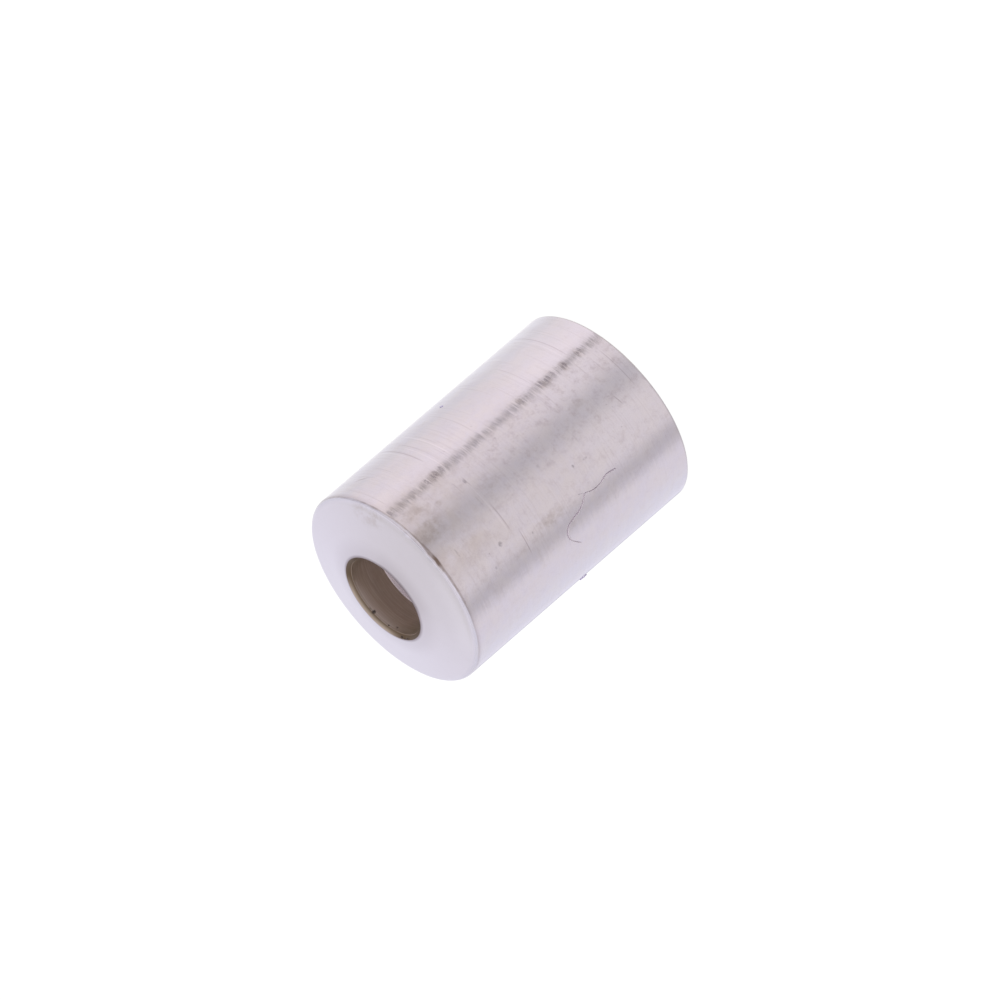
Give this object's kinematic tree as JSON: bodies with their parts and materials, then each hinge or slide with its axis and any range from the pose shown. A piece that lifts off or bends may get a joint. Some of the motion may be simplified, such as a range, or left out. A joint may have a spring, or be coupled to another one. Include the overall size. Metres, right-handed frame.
{
  "type": "cable end sleeve",
  "caption": "Turned metal end sleeve for a control cable's casing: straight barrel, wide blind bore for the casing, low conical end face with a smaller hole for the cable.",
  "frame": {"origin": "centre of the open end, where the sleeve stands", "axes": "+Z along the axis, from the open end towards the end face with the cable hole"},
  "size_m": [0.007, 0.007, 0.01],
  "materials": {
    "plated_brass": "nickel plated over turned brass, bright with fine turning marks"
  },
  "bodies": {
    "root": {"sleeve": "plated_brass"}
  },
  "joints": []
}
